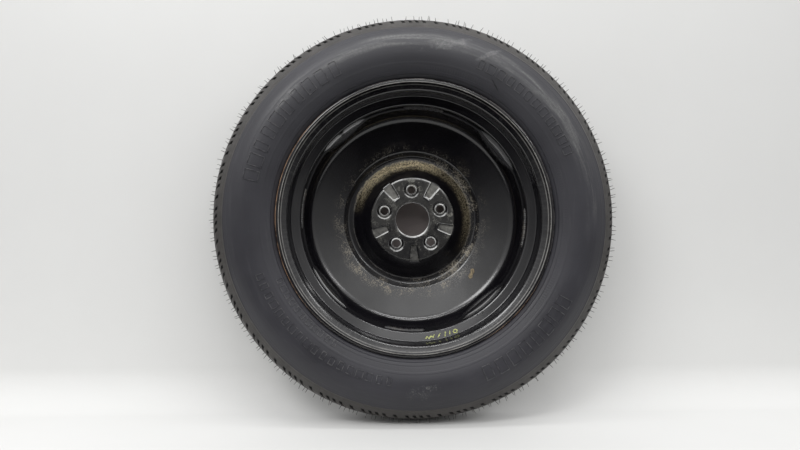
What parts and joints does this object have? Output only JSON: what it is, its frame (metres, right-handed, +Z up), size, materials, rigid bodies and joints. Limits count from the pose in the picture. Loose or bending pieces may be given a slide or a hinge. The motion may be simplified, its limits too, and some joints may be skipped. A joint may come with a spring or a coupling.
{
  "type": "space saver spare wheel",
  "caption": "Narrow temporary spare wheel: a moulded tyre on a black pressed steel disc wheel, with a bolt pattern, a centre bore, a welded rim and a snap-in valve.",
  "frame": {"origin": "centre of the wheel, on its axis and halfway across its width", "axes": "+Y along the wheel's axis towards the outside of the vehicle; -Y faces the vehicle and is the side that the picture shows; +Z up and +X to the right of the picture"},
  "size_m": [0.7378, 0.165, 0.7378],
  "materials": {
    "tyre_rubber": "satin, dusty on the shoulders",
    "rim_paint": "semi-gloss black paint, light rust on the flange edges",
    "disc_paint": "semi-gloss black paint, dusty",
    "weld_bead": "rippled weld metal under black paint",
    "valve_rubber": "matt",
    "valve_brass": "dull",
    "core_brass": "dull",
    "pin_brass": "bright",
    "seal_rubber": "matt",
    "spring_steel": "bright wire",
    "cap_plastic": "matt"
  },
  "bodies": {
    "wheel": {"tyre": "tyre_rubber", "rim": "rim_paint", "disc": "disc_paint", "weld_1": "weld_bead", "weld_2": "weld_bead", "weld_3": "weld_bead", "weld_4": "weld_bead", "valve_body": "valve_rubber", "valve_stem": "valve_brass", "valve_core": "core_brass", "valve_spring": "spring_steel"},
    "pin": {"valve_pin": "pin_brass", "valve_seal": "seal_rubber"},
    "cap": {"valve_cap": "cap_plastic"}
  },
  "joints": [
    {"name": "valve_pin_press", "type": "slide", "parent": "wheel", "child": "pin", "axis": [-0.2155, -0.9409, 0.2614], "range_m": [0, 0.0015], "stiffness_N_per_m": 200, "springref_m": -0.001, "deforming": ["valve_spring"]},
    {"name": "valve_cap_off", "type": "slide", "parent": "wheel", "child": "cap", "axis": [0.2155, 0.9409, -0.2614], "range_m": [0, 0.012]}
  ]
}
